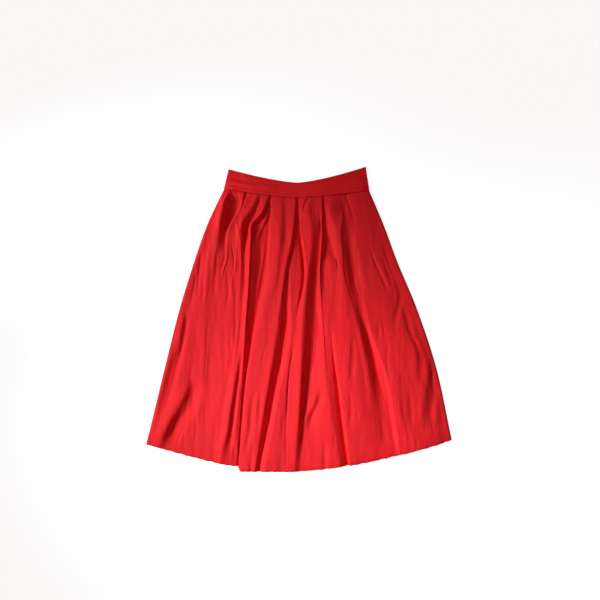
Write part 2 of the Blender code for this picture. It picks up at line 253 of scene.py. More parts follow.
# %% [markdown]
# ## A pleat's edge
#
# At the edge of a pleat the cloth turns down over one small arc, runs back under
# itself, and turns again into the underlay. Bending the finished sheet could make such an
# edge, but the layers would then cut through each other. Two arcs and a straight between
# them keep a true gap. The same strokes serve an open pleat: the turn is then less than a
# right angle and the fold is only a soft step.

# %% One row across a pleated panel
BEND_SIDES = 4
STRAIGHT_PARTS = (0.33, 0.67)
# A shut layer sinks a little as it runs back, and its two arcs take the rest of the drop.
LAYER_SINK = 0.05
SHUT_ROUND = (1 - LAYER_SINK) / 2
# An opening edge turns through fewer degrees, and then its arcs take less of the drop.
OPEN_TURN = 170
ROUND_FROM = 120
OPEN_ROUND = 0.35
# What stays free in the middle, where the tucked layers of two edges meet.
TUCK_CLEAR = 4.2


def s_bend(edge, fold, drop, side):
    """Points from the panel on top round to the underlay, as (x, height)."""
    turn = math.pi - LAYER_SINK * drop / (fold + 1) if fold >= 0 else math.radians(OPEN_TURN + fold)
    shut = float(ease((math.degrees(turn) - ROUND_FROM) / (OPEN_TURN - ROUND_FROM)))
    radius = (OPEN_ROUND + shut * (SHUT_ROUND - OPEN_ROUND)) * drop / (1 - math.cos(turn))
    straight = (drop - 2 * radius * (1 - math.cos(turn))) / math.sin(turn)
    headings = [turn * i / BEND_SIDES for i in range(BEND_SIDES + 1)]
    x_turn = radius * math.sin(turn)
    z_turn = drop - radius * (1 - math.cos(turn))
    points = [(radius * math.sin(h), drop - radius * (1 - math.cos(h))) for h in headings]
    for part in STRAIGHT_PARTS:
        run = straight * part
        points.append((x_turn + run * math.cos(turn), z_turn - run * math.sin(turn)))
    x_back = x_turn + straight * math.cos(turn)
    for h in reversed(headings):
        points.append((x_back + x_turn - radius * math.sin(h), radius * (1 - math.cos(h))))
    reach = radius * math.sin(min(turn, math.pi / 2))
    points = [(edge + side * (x - reach), z) for x, z in points]
    return points if side > 0 else points[::-1]


def spread(start, end, count):
    """Evenly spaced points between two points, without those two."""
    steps = [(i + 1) / (count + 1) for i in range(count)]
    return [tuple(a + (b - a) * t for a, b in zip(start, end)) for t in steps]


def pleated_row(left, right, edges, counts):
    """One row across a panel: each edge is (x, tuck, drop), two to a pleat."""
    ends = [left] + [edge[0] for edge in edges] + [right]
    points = [(left, edges[0][2])]
    for i, (x, tuck, drop) in enumerate(edges):
        side = 1 if i % 2 == 0 else -1
        room = (x - ends[i] if side < 0 else ends[i + 2] - x) / 2 - TUCK_CLEAR
        back = (x - ends[i] if side > 0 else ends[i + 2] - x) / 2 - TUCK_CLEAR
        bend = s_bend(x, min(tuck, room if tuck < 0 else back), drop, side)
        points += spread(points[-1], bend[0], counts[i]) + bend
    last = (right, edges[-1][2])
    points += spread(points[-1], last, counts[-1]) + [last]
    row = np.array(points)
    return row[:, 0], row[:, 1]


print("points in one pleat edge:", len(s_bend(0, 10, 3.6, 1)))

# %% [markdown]
# ## From rows to a sheet
#
# The sheet starts as a flat grid, one of bmesh's own shapes, with a column for each
# point of a row. Moving the grid's points into place keeps its faces in order, and the
# lengths along its rows and columns become the cloth's UV map, in metres of cloth. The
# sheet has no thickness yet: a Solidify modifier gives it that of the cloth.

# %% A grid moved onto its rows
CLOTH = 0.7


def finished(bm, mesh):
    """Put a bmesh into its mesh, and the mesh into the scene as a piece of that name."""
    bm.to_mesh(mesh)
    bm.free()
    piece = bpy.data.objects.new(mesh.name, mesh)
    bpy.context.scene.collection.objects.link(piece)
    return piece


def grid_sheet(name, x, y, z):
    """A sheet of cloth whose point (row, column) is at x, y, z, in millimetres."""
    rows, columns = x.shape
    bm = bmesh.new()
    # A grid of size 0.5 runs from -0.5 to 0.5, so its points tell their row and column.
    bmesh.ops.create_grid(bm, x_segments=columns - 1, y_segments=rows - 1, size=0.5)
    mesh = bpy.data.meshes.new(name)
    uv_layer = bm.loops.layers.uv.new("cloth")
    across = np.hypot(np.diff(x, axis=1), np.diff(z, axis=1))
    u = np.concatenate([np.zeros((rows, 1)), np.cumsum(across, axis=1)], axis=1)
    u -= u[:, -1:] / 2
    down = np.hypot(np.diff(y, axis=0), np.diff(z, axis=0))
    v = np.concatenate([np.zeros((1, columns)), np.cumsum(down, axis=0)], axis=0)
    place = {}
    for vert in bm.verts:
        column = round((vert.co.x + 0.5) * (columns - 1))
        row = round((0.5 - vert.co.y) * (rows - 1))
        place[vert] = (row, column)
        vert.co = Vector((x[row, column], y[row, column], z[row, column])) * MM
    for face in bm.faces:
        face.smooth = True
        for loop in face.loops:
            at = place[loop.vert]
            loop[uv_layer].uv = (u[at] * MM, -v[at] * MM)
    return finished(bm, mesh)


def thicken(piece):
    """Give a sheet the thickness of its cloth, half on each side."""
    wall = piece.modifiers.new("cloth thickness", "SOLIDIFY")
    wall.thickness = CLOTH * MM
    wall.offset = 0.0
    return piece


print("cloth", CLOTH, "mm thick")

# %% [markdown]
# ## Single folds
#
# Between the pleats the cloth has folds of its own, left by wearing and washing. Noise
# alone would scatter them evenly, so the ones that show are drawn one by one, and noise
# only adds the crinkle later. A fold rises or sinks as a soft bell across and fades out
# at both ends. A narrow side is steep, so it shades sharply; a wide side shades softly.

# %% Folds between the pleats
# Each is (height, width on its left, width on its right, ((x, y), ...)), from top to hem.
SIDE_FOLDS = (
    (7, 16, 32, ((-192, 322), (-198, 290), (-203, 268), (-206, 240), (-205, 215), (-201, 190))),
    (-6, 28, 7, ((-171, 334), (-162, 304), (-158, 284), (-164, 262), (-176, 240), (-186, 218),
                 (-192, 198), (-194, 165))),
    (6, 18, 11, ((-112, 326), (-113, 298), (-120, 275), (-133, 250), (-145, 224), (-152, 200),
                 (-149, 150))),
    (-4.5, 12, 8, ((-102, 315), (-108, 280), (-117, 260), (-130, 235), (-135, 210), (-141, 175),
                   (-145, 130))),
    (-3.4, 10, 4, ((-197, 250), (-196, 222), (-194, 195), (-191, 168), (-188, 140))),
    (2.5, 5, 5, ((-165, 248), (-162, 228), (-156, 200), (-154, 180))),
    (1.6, 6, 6, ((-131, 205), (-138, 190), (-138, 165))),
    (-2.2, 4, 5, ((-176, 180), (-170, 145), (-167, 130), (-168, 105))),
    (1.6, 5, 4, ((-163, 140), (-162, 118), (-163, 90))),
    (-1.6, 3, 4, ((-157, 172), (-157, 150), (-153, 125), (-153, 90))),
    (-2.6, 6, 6, ((-190, 160), (-191, 135), (-196, 117), (-203, 95))),
    (2.0, 6, 4, ((-184, 165), (-186, 130), (-193, 105), (-196, 80))),
    (-2.0, 5, 5, ((-208, 172), (-211, 145), (-213, 85), (-214, 30))),
    (-1.8, 5, 6, ((-181, 110), (-184, 80), (-180, 40), (-182, 10))),
    (1.6, 5, 5, ((-171, 90), (-172, 60), (-168, 25))),
    (-1.6, 4, 4, ((-162, 70), (-160, 30), (-163, -20))),
    (1.8, 8, 6, ((-229, 190), (-233, 120), (-236, 40), (-240, -10))),
    (-2.2, 5, 5, ((-247, 90), (-244, 60), (-246, 20))),
    (-1.5, 3, 4, ((-219, 95), (-218, 60), (-215, 35))),
    (-3.0, 6, 8, ((-252, 160), (-257, 100), (-259, 30))),
    (-2.2, 5, 6, ((-268, 112), (-266, 80), (-271, 40), (-275, 5))),
    (3.6, 12, 9, ((-293, 5), (-293, -20), (-297, -50), (-301, -90), (-308, -115), (-311, -135))),
    (-3.0, 7, 10, ((-285, 0), (-286, -40), (-290, -80), (-294, -110), (-295, -150))),
    (-6.0, 32, 11, ((-292, -60), (-298, -115), (-306, -160), (-317, -205), (-334, -265))),
    (-1.4, 3, 4, ((-259, -40), (-258, -70), (-250, -105))),
    (-1.2, 3, 4, ((-268, -130), (-267, -160), (-266, -200))),
    (-1.1, 3, 4, ((-232, -20), (-231, -100), (-233, -190))),
    (1.3, 22, 18, ((-240, 60), (-240, -60), (-241, -180), (-243, -300))),
    (-1.3, 18, 22, ((-220, 60), (-219, -60), (-222, -180), (-225, -320))),
    (4.6, 30, 13, ((-270, -165), (-274, -190), (-283, -215), (-295, -238), (-308, -262), (-320, -288),
                   (-329, -312), (-336, -345))),
    (-6.4, 20, 34, ((-256, -160), (-259, -195), (-265, -222), (-274, -245), (-289, -265), (-299, -285),
                    (-306, -308), (-313, -345))),
    (-1.4, 4, 4, ((-272, -250), (-276, -280), (-278, -305))),
    (1.4, 3, 3, ((-264, -180), (-268, -215), (-271, -245), (-275, -285), (-284, -315), (-298, -345))),
    (-1.4, 4, 4, ((-282, -295), (-289, -312), (-295, -330))),
    (-1.0, 3, 3, ((-250, -230), (-251, -280), (-250, -330))),
    (-1.0, 3, 3, ((-233, -220), (-228, -270), (-222, -320))),
    (-1.2, 8, 8, ((-206, -325), (-205, -345), (-207, -365))),
)
LEFT_FOLDS = (
    (4.5, 10, 9, ((-90, 300), (-91, 270), (-97, 258), (-110, 241), (-122, 231), (-127, 218),
                  (-125, 195), (-117, 160))),
    (-2.5, 8, 7, ((-76, 296), (-80, 270), (-92, 250), (-104, 236), (-114, 220), (-117, 200),
                  (-112, 160))),
    (4, 7, 7, ((-76, 288), (-81, 266), (-88, 242), (-96, 222), (-104, 203), (-113, 170))),
    (-2.2, 6, 2.5, ((-76, 300), (-78, 240), (-83, 170), (-89, 115), (-97, 60), (-108, 0))),
    (2.5, 6, 6, ((-88, 190), (-92, 150), (-97, 110), (-102, 70), (-109, 20))),
    (-1.6, 3, 4, ((-138, 130), (-139, 80), (-139, 30))),
    (-1.8, 7, 8, ((-160, 0), (-160, -40), (-161, -80))),
    (-1.2, 4, 4, ((-172, -60), (-172, -85), (-168, -110))),
    (4.6, 18, 10, ((-146, -80), (-150, -120), (-157, -170), (-163, -215), (-169, -255), (-174, -300),
                   (-181, -330), (-186, -400))),
    (-2.2, 8, 6, ((-141, -80), (-144, -120), (-149, -165), (-154, -210), (-159, -255), (-163, -300),
                  (-171, -400))),
    (1.6, 5, 5, ((-146, -170), (-147, -220), (-151, -270), (-155, -330))),
    (-1.6, 3, 4, ((-82, -85), (-88, -110), (-93, -145))),
    (-2.2, 9, 9, ((-107, -185), (-112, -215), (-117, -250), (-119, -290), (-125, -320), (-132, -360))),
    (1.5, 8, 8, ((-98, -190), (-103, -240), (-106, -290), (-110, -350))),
    (-2.0, 8, 8, ((-156, -335), (-154, -352), (-150, -372))),
    (1.4, 20, 13, ((-50, 312), (-48, 285), (-46, 240), (-47, 195), (-51, 160), (-56, 125))),
    (-1.0, 14, 12, ((-31, 312), (-31, 270), (-32, 230), (-36, 180), (-40, 150))),
)
MIDDLE_FOLDS = (
    (-5.0, 22, 5, ((-18, 30), (-33, -40), (-41, -90), (-45, -120), (-53, -160), (-61, -200),
                   (-73, -270), (-91, -350), (-106, -440))),
    (-4.0, 12, 12, ((48, 20), (47, -40), (43, -80), (38, -115), (30, -160))),
    (1.2, 7, 7, ((-10, 205), (-8, 185), (-10, 160), (-12, 130), (-14, 90))),
    (-3.0, 6, 5, ((6, 205), (7, 180), (8, 158), (10, 130), (11, 110))),
    (1.6, 4, 4, ((4, 245), (6, 210), (12, 175), (17, 140), (19, 100))),
    (-1.8, 5, 6, ((61, 110), (63, 85), (64, 60), (63, 30))),
    (-3.0, 6, 8, ((31, 312), (23, 297), (16, 280), (12, 258))),
    (1.6, 10, 10, ((48, 300), (50, 250), (48, 200))),
    (-1.4, 4, 4, ((-12, -95), (-16, -115), (-19, -132))),
    (-1.6, 10, 12, ((-38, -250), (-40, -290), (-46, -325))),
    (-2.4, 5, 2.5, ((-15, -85), (-20, -130), (-26, -180), (-28.5, -230), (-30.5, -280), (-32, -350))),
    (2.6, 20, 8, ((45, -200), (38, -228), (28, -250), (20, -272), (14, -300))),
    (-4.0, 12, 14, ((56, -195), (50, -222), (38, -248), (28, -268), (20, -292))),
    (-2.0, 10, 8, ((62, -315), (62, -345), (60, -420))),
    (-1.3, 5, 4, ((86, -300), (85, -325), (76, -345))),
    (-2.0, 6, 6, ((44, -10), (47, -45), (50, -85))),
    (-1.4, 8, 8, ((36, -80), (38, -110), (42, -150))),
)
RIGHT_FOLDS = (
    (4.0, 34, 12, ((111, 266), (111, 235), (108, 188))),
    (-3.0, 5, 3, ((123, 318), (127, 298), (132, 280), (139, 255), (144, 232))),
    (-2.4, 26, 20, ((68, 240), (75, 208), (84, 175), (93, 145), (98, 118))),
    (-8.5, 24, 9, ((64, 262), (68, 235), (73, 205), (82, 170), (91, 138), (95, 118))),
    (2.0, 12, 14, ((80, 140), (78, 115), (78, 80))),
    (-2.4, 12, 10, ((60, 170), (66, 150), (72, 128))),
    (-2.0, 8, 8, ((112, 225), (113, 190), (116, 150))),
    (1.6, 7, 9, ((143, 95), (150, 65), (156, 35))),
    (-6.6, 22, 26, ((123, 235), (127, 195), (132, 150), (138, 108), (146, 60), (153, 20))),
    (-5.0, 26, 20, ((226, 190), (244, 130), (263, 75), (280, 25))),
    (3.0, 16, 18, ((145, 10), (150, -40), (156, -75), (164, -110), (171, -150), (174, -190),
                   (178, -250))),
    (-2.6, 14, 6, ((168, -10), (174, -60), (184, -100), (193, -140), (202, -185), (207, -225))),
    (-2.2, 10, 12, ((134, -60), (133, -100), (130, -150), (126, -190))),
    (-1.6, 10, 8, ((124, -190), (126, -235), (124, -270), (118, -295))),
    (-2.2, 5, 6, ((184, 165), (194, 125), (206, 98), (218, 68), (228, 40))),
    (0.8, 7, 7, ((197, 150), (206, 122), (218, 92), (230, 62), (239, 35))),
    (-3.2, 12, 11, ((268, 82), (263, 58), (257, 25), (250, 0), (241, -32), (236, -55))),
    (-2.6, 12, 12, ((262, 35), (268, -4), (276, -41), (285, -70), (296, -99), (304, -140))),
    (-1.6, 6, 8, ((210, 150), (221, 118), (231, 90), (240, 62))),
    (-1.4, 4, 4, ((209, -25), (212, -50), (211, -75))),
    (-1.8, 9, 9, ((200, -35), (198, -55), (197, -75))),
    (-1.4, 6, 6, ((212, -75), (219, -95), (217, -125), (220, -175))),
    (1.2, 20, 12, ((305, -70), (292, -100), (286, -135), (284, -180))),
    (-1.8, 18, 12, ((316, -95), (306, -120), (302, -150), (300, -190))),
    (1.2, 22, 16, ((318, -115), (313, -155), (305, -195), (300, -240), (298, -290))),
    (-4.5, 26, 14, ((348, -115), (341, -155), (333, -195), (324, -235), (320, -265), (318, -300))),
    (1.5, 24, 9, ((240, -130), (242, -190), (243, -240), (249, -275), (254, -310))),
    (-1.6, 10, 10, ((270, -190), (271, -230), (272, -290))),
    (-1.6, 12, 12, ((200, -255), (202, -290), (204, -335))),
    (1.4, 4, 4, ((257, -295), (256, -315), (257, -345))),
    (1.4, 4, 4, ((276, -300), (275, -320), (276, -345))),
)
# Folds that run across: (height, width below, width above, ((x, y), ...)), from left to right.
CROSS_FOLDS = (
    (2.6, 12, 34, ((56, 252), (72, 262), (95, 265), (124, 256))),
    (1.4, 14, 26, ((-5, 250), (12, 258), (34, 252))),
    (-1.2, 4, 4, ((-205, 6), (-150, 10))),
    (-0.9, 4, 4, ((-75, -24), (5, -28))),
    (-1.4, 5, 5, ((72, -14), (112, -2))),
    (-1.6, 5, 5, ((236, -60), (262, -54))),
    (-1.2, 5, 5, ((222, -72), (250, -76))),
    (-1.0, 5, 5, ((-30, -112), (-12, -114))),
)
# A fold fades over one part in FADE of its length, at either end.
FADE = 3.5


def bell(away):
    """A soft rise from 0 at -1 to 1 in the middle and back to 0 at 1."""
    return ease(1 - np.abs(away))


def relief(folds, along_fold, across_fold):
    """The height the folds add, for folds that run along one way of the cloth."""
    height = np.zeros(along_fold.shape)
    for rise, before, after, route in folds:
        first = route[0][0]
        last = route[-1][0]
        at = np.clip(along_fold, first, last)
        away = across_fold - fold_curve(at, route)
        share = (at - first) / (last - first)
        fade = ease(FADE * np.minimum(share, 1 - share))
        height += rise * fade * bell(away / np.where(away < 0, before, after))
    return height


def running_down(folds):
    """The same folds, with each point as (way down, x)."""
    return [(rise, left, right, [(-y, x) for x, y in route]) for rise, left, right, route in folds]


DOWN_FOLDS = running_down(SIDE_FOLDS + LEFT_FOLDS + MIDDLE_FOLDS + RIGHT_FOLDS)
print(len(DOWN_FOLDS) + len(CROSS_FOLDS), "single folds")

# %% [markdown]
# ## Crinkle and side roll
#
# The cloth is crinkled all over, and its sides roll down to meet the back panel. A sheet
# with every wrinkle in it would be too heavy, and bump alone would leave the folds too
# smooth from the side. So the mesh has a broad crinkle and a fine one, and what is finer
# still is left to the material.

# %% Crinkle and roll of the cloth
# Each crinkle is its height, its length across and down the cloth, and a seed of its own.
BROAD_CRINKLE = (0.8, 14, 60, 1.0)
FINE_CRINKLE = (0.55, 7, 32, 2.0)
HEM_RAGGED = (1.5, 12, 1, 3.0)
ROLL = 8.0


def crinkle(x, y, height, across, down, seed):
    """Small random waves, of one length across the cloth and another down it."""
    wave = np.empty(x.shape)
    for at in np.ndindex(x.shape):
        wave[at] = noise.noise(Vector((x[at] / across, y[at] / down, seed)))
    return height * wave


def side_roll(x, left, right):
    """From 0 at the sides of a panel to 1 where it has turned up to its full height."""
    edge = np.clip(np.minimum(x - left, right - x) / ROLL, 0, 1)
    return np.sqrt(1 - (1 - edge) ** 2)


print("the roll at each side is", ROLL, "mm wide")

# %% [markdown]
# ## Rows from waist to hem
#
# A row is one line of cloth across the panel. Rows at equal steps would be too far apart
# near the waist, where the pleats bend most, so they are crowded towards it. Each row
# needs the place and height of every thread, and the shape of every pleat edge.

# %% Threads and pleat edges at every row
ROWS = 112
ROW_CROWDING = 1.35
SHARES = np.linspace(0, 1, ROWS + 1) ** ROW_CROWDING
LEFTS = down_the_cloth(LEFT_SIDE, SHARES)
RIGHTS = down_the_cloth(RIGHT_SIDE, SHARES)


def thread_lines():
    """Each thread's name, with its x and its height at every row."""
    lines = []
    for name, x_row, z_row in THREADS:
        near_x, near_z = TURN_SOON.get(name, (None, None))
        x_line = down_the_cloth(x_row, SHARES, near_x)
        z_line = down_the_cloth(z_row, SHARES, near_z)
        lines.append((name, x_line, z_line))
    return lines


def pleat_edges(threads):
    """Each pleat edge's x, tuck and drop at every row."""
    edges = []
    for name, x_line, z_line in threads:
        if name.endswith((" left", " right")):
            tucks = down_the_cloth(OWN_TUCK.get(name, TUCK), SHARES)
            drops = down_the_cloth(OWN_DROP.get(name, DROP), SHARES)
            edges.append((x_line, tucks, drops))
    return edges


print(ROWS, "rows, the first", round(SHARES[1] * (SEAM_DIP - HEM_LOW), 2), "mm below the seam")

# %% [markdown]
# ## The front panel
#
# The front lies on the back, so its height starts from the walls below it. The pleats,
# the threads, the single folds and the crinkle add up on top of that. They could be
# separate layers of displacement, but one sum keeps them from cutting into each other.
#
# At the waist the last few millimetres tuck down to the seam, under the band. At the hem
# the turned layers lift the cloth a little, and the edge is slightly ragged. The cloth on
# the right lies calmer than that on the left, so its crinkle is weaker.

# %% Rows of the front panel
# How many points lie between one pleat edge and the next, from left to right.
PANEL_POINTS = (36, 24, 14, 20, 22, 26, 36, 12, 22, 18, 50)
WALL = 1.0
LAYER_GAP = 0.5
# The back panel's wall and the lower half of the front's own.
WALLS_BELOW = 1.5
# The height of the side seams, where front and back meet.
SEAM_Z = 1.1
# How far the cloth sinks to the waist seam, and over which share of the way down.
SEAM_TUCK = 2.4
SEAM_TUCK_RUN = 0.009
# The folds may not sink the cloth further than this into what lies below it.
LOWEST = -0.6
# The hem's layers lift the cloth, from HEM_RAMP hem depths above the edge, over one depth.
HEM_LAYERS = 2.2
HEM_DEEP = 0.05
HEM_RAMP = 1.5
# The ragged edge fades upwards with this power of the share.
RAGGED_TO_HEM = 8
# From this x to the right, the crinkle grows weaker by this share.
CALM_FROM_X = -120
CALM_RUN = 200
CALM = 0.5
# The fine crinkle is weaker by this share everywhere.
CALM_FINE = 0.3


def wrinkles(x, y):
    """The height that the single folds and the two crinkles add."""
    calm = 1 - CALM * ease((x - CALM_FROM_X) / CALM_RUN)
    height = relief(DOWN_FOLDS, -y, x)
    height += relief(CROSS_FOLDS, x, y)
    height += calm * crinkle(x, y, *BROAD_CRINKLE)
    height += (calm - CALM_FINE) * crinkle(x, y, *FINE_CRINKLE)
    return height


def front_rows():
    """The points of the front panel, row by row."""
    threads = thread_lines()
    edges = pleat_edges(threads)
    floors = down_the_cloth(BACK_DROP, SHARES) + WALLS_BELOW * WALL + LAYER_GAP
    floors += HEM_LAYERS * ease((SHARES - 1) / HEM_DEEP + HEM_RAMP)
    xs, ys, zs = [], [], []
    for r, share in enumerate(SHARES):
        left, right = LEFTS[r], RIGHTS[r]
        row_edges = [tuple(float(line[r]) for line in edge) for edge in edges]
        x, height = pleated_row(left, right, row_edges, PANEL_POINTS)
        y = row_y(x, share, left, right)
        y += share ** RAGGED_TO_HEM * crinkle(x, 0 * x, *HEM_RAGGED)
        knots = [(x_line[r], z_line[r]) for name, x_line, z_line in threads]
        knots = [(left, knots[0][1])] + knots + [(right, knots[-1][1])]
        lift = fold_curve(x, knots) + wrinkles(x, y)
        full = floors[r] + height + np.maximum(lift, LOWEST)
        full -= SEAM_TUCK * (1 - ease(share / SEAM_TUCK_RUN))
        xs.append(x)
        ys.append(y)
        zs.append(SEAM_Z + (full - SEAM_Z) * side_roll(x, left, right))
    return np.array(xs), np.array(ys), np.array(zs)


front_x, front_y, front_z = front_rows()
print("front rows", front_x.shape, "highest", round(float(front_z.max()), 1), "mm")

# %% [markdown]
# ## A hem
#
# The lower edge is turned up inside and stitched. A second strip laid inside it would
# leave out the fold itself. So the hem is a few more rows of the same sheet: one round the
# fold, then the last rows again in reverse, one layer further inside.

# %% Turned-up hem
HEM_ROWS = 4
HEM_PLY = 1.0
HEM_BULGE = 0.4


def with_hem(x, y, z, inside):
    """Add the turned-up rows to a panel; inside is -1 below the cloth and 1 above it."""
    fold_y = y[-1:] - HEM_BULGE
    fold_z = z[-1:] + inside * HEM_PLY / 2
    back = slice(-1, -1 - HEM_ROWS, -1)
    return (np.concatenate([x, x[-1:], x[back]]),
            np.concatenate([y, fold_y, y[back]]),
            np.concatenate([z, fold_z, z[back] + inside * HEM_PLY]))


front_sheet = with_hem(front_x, front_y, front_z, -1)
front_cloth = thicken(grid_sheet("front_cloth", *front_sheet))
print("front grid", front_sheet[0].shape, "about", 4 * front_sheet[0].size, "triangles once thick")

# %% [markdown]
# ## The back panel
#
# The back is pleated in the same way and lies on the floor with its outer face down, so
# its pleats stand upwards, into the skirt. Its own folds are pressed nearly flat by the
# weight of the cloth above, and only faint waves are left. Its pleats are a guess, because
# the front hides them. So they are not drawn one by one: each has a place at the waist and
# one at the hem, and all of them open alike.

# %% Rows of the back panel
BACK_PLEAT_WAIST = (-130, -69, -7, 55, 117)
BACK_PLEAT_HEM = (-258, -136, -8, 122, 248)
BACK_PLEAT_OPENING = (3, 12, 26, 44, 58, 68)
BACK_TUCK = (14, 9, 3, -100, -145, -150)
BACK_POINTS = (16, 8, 10, 8, 10, 8, 10, 8, 10, 8, 16)
BACK_ROWS = 60
BACK_CRINKLE = (0.5, 22, 90, 4.0)


def back_rows():
    """The points of the back panel, row by row."""
    shares = np.linspace(0, 1, BACK_ROWS + 1) ** ROW_CROWDING
    drops = down_the_cloth(BACK_DROP, shares)
    tucks = down_the_cloth(BACK_TUCK, shares)
    halves = down_the_cloth(BACK_PLEAT_OPENING, shares) / 2
    lefts = down_the_cloth(LEFT_SIDE, shares)
    rights = down_the_cloth(RIGHT_SIDE, shares)
    xs, ys, zs = [], [], []
    for r, share in enumerate(shares):
        row_edges = []
        for waist, hem in zip(BACK_PLEAT_WAIST, BACK_PLEAT_HEM):
            middle = waist + share * (hem - waist)
            for side in (-1, 1):
                row_edges.append((middle + side * halves[r], tucks[r], drops[r]))
        x, height = pleated_row(lefts[r], rights[r], row_edges, BACK_POINTS)
        y = row_y(x, share, lefts[r], rights[r])
        wave = np.abs(crinkle(x, y, *BACK_CRINKLE)) * side_roll(x, lefts[r], rights[r])
        xs.append(x)
        ys.append(y)
        zs.append(CLOTH / 2 + drops[r] - height + wave)
    return np.array(xs), np.array(ys), np.array(zs)


back_x, back_y, back_z = back_rows()
back_sheet = with_hem(back_x, back_y, back_z, 1)
back_cloth = thicken(grid_sheet("back_cloth", *back_sheet))
print("back grid", back_sheet[0].shape)

# %% [markdown]
# ## The waistbands
#
# The front waistband is plain and firm. Its seam presses a narrow ridge into it just above
# the panel, and lying has pressed a few long creases along it, more of them near its ends.
# Noise would not run along the band, so these creases are drawn like the single folds.
# The back one is a casing over elastic, so it is drawn up into small gathers, which a sine
# wave gives. That it is elastic is a guess, from the small wrinkles of its upper edge.

# %% Height of a waistband
# Each crease is (height, width below, width above, ((x, y), ...)), from left to right.
BAND_FOLDS = (
    (-3.0, 7, 9, ((-204, 360), (-186, 357), (-165, 352), (-135, 350))),
    (3.0, 5, 5, ((-196, 352), (-170, 344), (-145, 337), (-100, 331), (-50, 326))),
    (-1.6, 5, 5, ((-215, 338), (-190, 335), (-160, 331), (-130, 327))),
    (-1.0, 5, 6, ((-120, 350), (-80, 344), (-40, 338), (0, 336))),
    (-1.2, 6, 6, ((60, 352), (100, 356), (140, 362), (165, 368))),
    (1.2, 6, 7, ((20, 338), (70, 336), (120, 342), (160, 350))),
    (-1.2, 5, 6, ((80, 330), (120, 334), (160, 340), (185, 346))),
)
BAND_HEIGHT = 42
BAND_END_LEAN = (11, -8)
BAND_END_RUN = 18
BAND_PLY = 1.9
FRONT_BAND_Z = (11.0, 5.6)
SEAM_RIDGE = 1.3
SEAM_RIDGE_UP = 0.11
SEAM_RIDGE_HALF = 0.08
BAND_CRINKLE = (1.0, 26, 12, 7.0)
# The middle of the band is nearly plain, and its ends have more of the crinkle.
BAND_MIDDLE_X = -7
BAND_PLAIN = 90
BAND_CRINKLED = 90
CRINKLE_SHARE = (0.35, 0.5)
GATHER = 0.55
GATHER_LENGTH = 6.5
GATHER_DRIFT = 1.5
GATHER_DRIFT_LENGTH = 23
GATHERED_UP = (0.08, 0.92)


def band_ends(up):
    """The x of a waistband's left and right end at a share of the way up."""
    return LEFT_SIDE[0] + BAND_END_LEAN[0] * up, RIGHT_SIDE[0] + BAND_END_LEAN[1] * up


def back_ply(x, up):
    """The height of the back waistband's outer ply, drawn up into gathers."""
    drift = GATHER_DRIFT * np.sin(x / GATHER_DRIFT_LENGTH)
    gathers = GATHER * np.sin(2 * math.pi * x / GATHER_LENGTH + drift)
    return BAND_PLY + CLOTH / 2 + 2 * GATHER + gathers * np.sin(math.pi * np.clip(up, *GATHERED_UP))


def front_ply(x, y, up):
    """The height of the front waistband's outer ply, which sinks to the back one at its ends."""
    left, right = band_ends(up)
    turn = ease(np.minimum(x - left, right - x) / BAND_END_RUN)
    height = FRONT_BAND_Z[0] + (FRONT_BAND_Z[1] - FRONT_BAND_Z[0]) * up
    height += SEAM_RIDGE * bell((up - SEAM_RIDGE_UP) / SEAM_RIDGE_HALF)
    ends = ease((np.abs(x - BAND_MIDDLE_X) - BAND_PLAIN) / BAND_CRINKLED)
    share = CRINKLE_SHARE[0] + CRINKLE_SHARE[1] * ends
    height += share * crinkle(x, up * BAND_HEIGHT, *BAND_CRINKLE)
    height += relief(BAND_FOLDS, x, y)
    low = BAND_PLY + 2 * CLOTH + 2 * GATHER + BAND_PLY
    return low + (height - low) * turn


print("waistband", BAND_HEIGHT, "mm high,", len(BAND_FOLDS), "creases in the front one")

# %% [markdown]
# ## Folding the strips
#
# Each band is a strip folded in half over its upper edge. A flat slab would do from far
# off, but the fold and the open ends show from the side. So the strip is one sheet, whose
# rows go up the outside, round the fold and down the inside.

# %% Folded strips
BAND_COLUMNS = 190
BAND_CROWDING = 0.3
BAND_UP = (0.0, 0.02, 0.05, 0.09, 0.13, 0.17, 0.22, 0.3, 0.4, 0.5, 0.6, 0.7, 0.8, 0.88, 0.94, 1.0)
BAND_OVERLAP = 1.6
BAND_SEAM_GAP = 0.6
FOLD_TURNS = 5


def band_row(columns, is_front, up, ply, bulge):
    """One row along a waistband, a ply below its outer face and a bulge past its height."""
    left, right = band_ends(up)
    x = left + columns * (right - left)
    overlaps = is_front and ply == 0
    low = waist_line(SEAM_DIP, SEAM_RISE, columns) + (-BAND_OVERLAP if overlaps else BAND_SEAM_GAP)
    high = waist_line(TOP_DIP, TOP_RISE, columns) - BAND_PLY / 2 - CLOTH / 2
    y = low + up * (high - low) + bulge
    ups = np.full(x.shape, up)
    z = front_ply(x, y, ups) if is_front else back_ply(x, ups)
    return x, y, z - ply


def band_sheet(name, is_front):
    """A strip of cloth folded over its upper edge, as one sheet."""
    even = np.linspace(0, 1, BAND_COLUMNS)
    columns = ease(even) * BAND_CROWDING + even * (1 - BAND_CROWDING)
    strokes = [(up, 0.0, 0.0) for up in BAND_UP]
    for i in range(1, FOLD_TURNS):
        turn = math.pi * i / FOLD_TURNS
        strokes.append((1.0, BAND_PLY * (1 - math.cos(turn)) / 2, BAND_PLY * math.sin(turn) / 2))
    strokes += [(up, BAND_PLY, 0.0) for up in reversed(BAND_UP[::2])]
    rows = [band_row(columns, is_front, *stroke) for stroke in strokes]
    x, y, z = (np.array(part) for part in zip(*rows))
    return thicken(grid_sheet(name, x, y, z))


front_band = band_sheet("front_band_cloth", True)
back_band = band_sheet("back_band_cloth", False)
print("points in each waistband's grid:", len(front_band.data.vertices))

